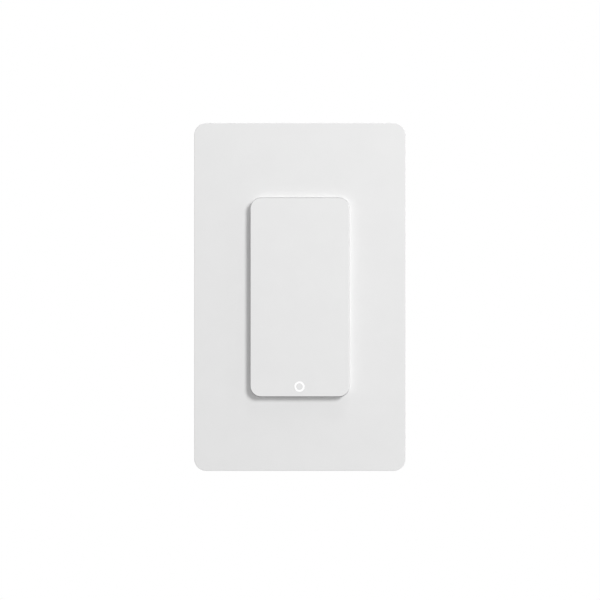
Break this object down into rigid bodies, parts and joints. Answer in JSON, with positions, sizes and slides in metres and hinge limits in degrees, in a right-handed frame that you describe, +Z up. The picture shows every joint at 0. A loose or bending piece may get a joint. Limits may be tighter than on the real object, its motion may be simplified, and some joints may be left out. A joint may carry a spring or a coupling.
{
  "type": "smart wall switch",
  "caption": "Single-gang smart wall switch: screwless cover plate, wide hinged paddle with a small lit ring near its foot, steel strap and deep rear housing with screw terminals.",
  "frame": {"origin": "middle of the cover plate's rear, on the wall's surface", "axes": "+Z up, +X to the right as seen from the room, +Y into the wall; the front faces -Y"},
  "size_m": [0.0696, 0.0383, 0.1142],
  "materials": {
    "white_plastic": "satin, finely textured",
    "inner_plastic": "matt moulded",
    "dark_plastic": "matt moulded",
    "clear_plastic": "clear, lit white at its front rim",
    "steel": "zinc plated",
    "brass": "plain",
    "green_steel": "green chromate",
    "board_green": "solder mask",
    "relay_blue": "moulded",
    "ferrite": "sintered, dull",
    "yellow_tape": "tape and film",
    "capacitor_sleeve": "shrink sleeve",
    "film_grey": "film",
    "ceramic": "ceramic tube with plated caps",
    "fibre": "vulcanised fibre"
  },
  "bodies": {
    "switch_body": {"cover_plate": "white_plastic", "mounting_plate": "inner_plastic", "plate_screw_upper": "steel", "plate_screw_lower": "steel", "strap": "steel", "mounting_screw_upper": "steel", "mounting_screw_lower": "steel", "screw_retainer_upper": "fibre", "screw_retainer_lower": "fibre", "ground_screw": "green_steel", "front_frame": "inner_plastic", "return_spring_left": "steel", "return_spring_right": "steel", "tact_switch_case": "dark_plastic", "control_board": "board_green", "insulating_sheet": "film_grey", "radio_module": "board_green", "radio_shield": "steel", "status_led": "clear_plastic", "board_header": "dark_plastic", "power_board": "board_green", "relay": "relay_blue", "transformer_core": "ferrite", "transformer_coil": "yellow_tape", "bulk_capacitor_upper": "capacitor_sleeve", "bulk_capacitor_lower": "capacitor_sleeve", "filter_capacitor": "yellow_tape", "fuse": "ceramic", "varistor": "relay_blue", "bridge_rectifier": "dark_plastic", "rear_housing": "dark_plastic", "housing_screw_upper_right": "steel", "housing_screw_upper_left": "steel", "housing_screw_lower_right": "steel", "housing_screw_lower_left": "steel", "terminal_plate_line": "brass", "clamp_plate_line": "brass", "terminal_screw_line": "brass", "terminal_plate_load": "brass", "clamp_plate_load": "brass", "terminal_screw_load": "brass", "terminal_plate_neutral": "brass", "clamp_plate_neutral": "brass", "terminal_screw_neutral": "brass", "terminal_plate_traveller": "brass", "clamp_plate_traveller": "brass", "terminal_screw_traveller": "brass"},
    "paddle": {"paddle": "white_plastic", "light_guide": "clear_plastic", "ring_centre": "white_plastic"},
    "plunger": {"tact_switch_plunger": "relay_blue"}
  },
  "joints": [
    {"name": "paddle_hinge", "type": "hinge", "parent": "switch_body", "child": "paddle", "pos_m": [0, -0.0044, 0.0255], "axis": [1, 0, 0], "range_deg": [0, 0.69], "stiffness_Nm_per_rad": 2, "springref_deg": -3.44, "deforming": ["return_spring_left", "return_spring_right"]},
    {"name": "plunger_slide", "type": "slide", "parent": "switch_body", "child": "plunger", "axis": [0, 1, 0], "range_m": [0, 0.0003]}
  ],
  "couplings": [
    {"joint": "plunger_slide", "follows": "paddle_hinge", "m_per_rad": 0.0248}
  ]
}
